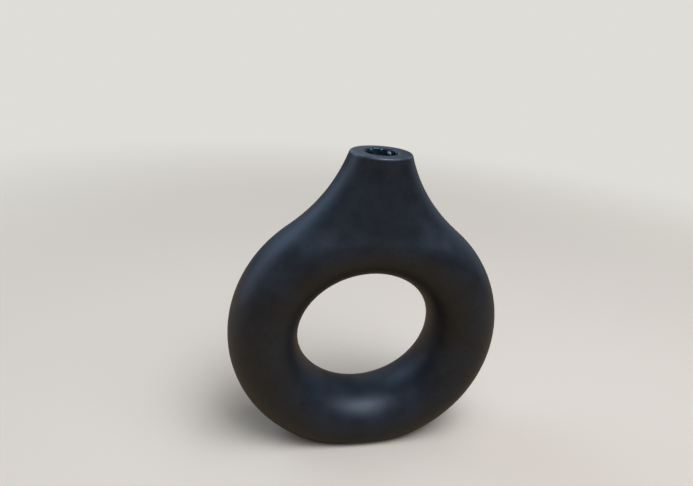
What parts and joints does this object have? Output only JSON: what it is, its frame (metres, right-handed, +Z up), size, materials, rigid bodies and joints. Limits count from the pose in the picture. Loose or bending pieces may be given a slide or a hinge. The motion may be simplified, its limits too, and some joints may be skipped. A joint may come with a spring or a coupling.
{
  "type": "donut vase",
  "caption": "Ring-shaped bud vase: a hollow tube round an open hole stands on a flat base and sweeps up through soft shoulders into a short neck with a flat turned-in lip.",
  "frame": {"origin": "on the table, under the middle of the vase", "axes": "+Z up through the mouth, +Y through the hole towards the back, +X to the right seen from the front"},
  "size_m": [0.149, 0.045, 0.165],
  "materials": {
    "stoneware": "matte",
    "liner_glaze": "gloss",
    "felt": "matte"
  },
  "bodies": {
    "root": {"vase_body": "stoneware", "liner_glaze": "liner_glaze", "foot_pad_front_left": "felt", "foot_pad_front_right": "felt", "foot_pad_rear_left": "felt", "foot_pad_rear_right": "felt"}
  },
  "joints": []
}
